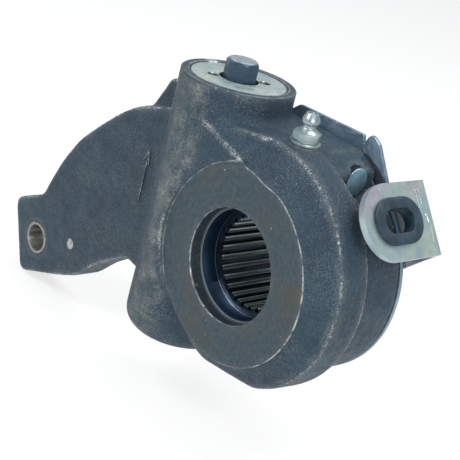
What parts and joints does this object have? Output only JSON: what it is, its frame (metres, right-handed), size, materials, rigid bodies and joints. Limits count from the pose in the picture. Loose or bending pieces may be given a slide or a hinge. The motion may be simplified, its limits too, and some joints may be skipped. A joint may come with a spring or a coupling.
{
  "type": "automatic brake slack adjuster",
  "caption": "Cast brake lever with a splined worm wheel, adjusting worm with hex end, and a rear control arm that senses brake clearance through a rack and one-way clutch.",
  "frame": {"origin": "on the camshaft axis, in the plane of the machined front face", "axes": "+Y along the camshaft axis to the rear cover, +Z along the worm axis towards the adjusting hex, lever towards -X"},
  "size_m": [0.2199, 0.0574, 0.1466],
  "materials": {
    "casting": "dark phosphated casting",
    "bush_steel": "bright with light rust in the bore",
    "black_rubber": "matt",
    "gear_iron": "broached",
    "spring_steel": "oiled",
    "dark_steel": "black phosphate",
    "bright_steel": "machined",
    "bronze": "machined",
    "zinc_steel": "zinc passivated",
    "black_plastic": "moulded"
  },
  "bodies": {
    "lever": {"housing": "casting", "eye_bush": "bush_steel", "front_seal": "black_rubber", "clutch_spring": "spring_steel", "spring_seat": "bright_steel", "thrust_washer": "bronze", "top_spacer": "bright_steel", "worm_cap": "zinc_steel", "cap_seal": "black_rubber", "rack_plug": "zinc_steel", "gasket": "black_rubber", "cover_plate": "zinc_steel", "cover_screws": "zinc_steel", "rear_seal": "black_rubber", "grease_nipple": "zinc_steel", "nipple_washer": "zinc_steel", "nipple_ball": "bright_steel"},
    "wheel": {"worm_wheel": "gear_iron", "retaining_ring": "spring_steel"},
    "worm": {"worm_shaft": "dark_steel", "clutch_hub": "bright_steel"},
    "clutch": {"clutch_gear": "bright_steel", "wrap_spring": "spring_steel"},
    "rack": {"rack": "bright_steel", "rack_spring": "spring_steel"},
    "control": {"control_disc": "bright_steel", "control_arm": "zinc_steel", "arm_rivets": "zinc_steel", "arm_bush": "black_plastic"}
  },
  "joints": [
    {"name": "wheel_spin", "type": "hinge", "parent": "lever", "child": "wheel", "pos_m": [0, 0.0216, 0], "axis": [0, 1, 0], "continuous": true},
    {"name": "worm_spin", "type": "hinge", "parent": "lever", "child": "worm", "pos_m": [-0.0402, 0.0216, 0], "axis": [0, 0, 1], "continuous": true},
    {"name": "control_swing", "type": "hinge", "parent": "lever", "child": "control", "pos_m": [0, 0.05, 0], "axis": [0, 1, 0], "range_deg": [-4, 10]},
    {"name": "rack_slide", "type": "slide", "parent": "lever", "child": "rack", "axis": [1, 0, 0], "range_m": [-0.0032, 0.0076], "deforming": ["rack_spring"]},
    {"name": "clutch_spin", "type": "hinge", "parent": "lever", "child": "clutch", "pos_m": [-0.0402, 0.0216, 0.0412], "axis": [0, 0, 1], "range_deg": [-38, 16]}
  ],
  "couplings": [
    {"joint": "worm_spin", "follows": "wheel_spin", "ratio": -24},
    {"joint": "rack_slide", "follows": "control_swing", "m_per_rad": 0.0412},
    {"joint": "clutch_spin", "follows": "control_swing", "ratio": -3.622}
  ]
}
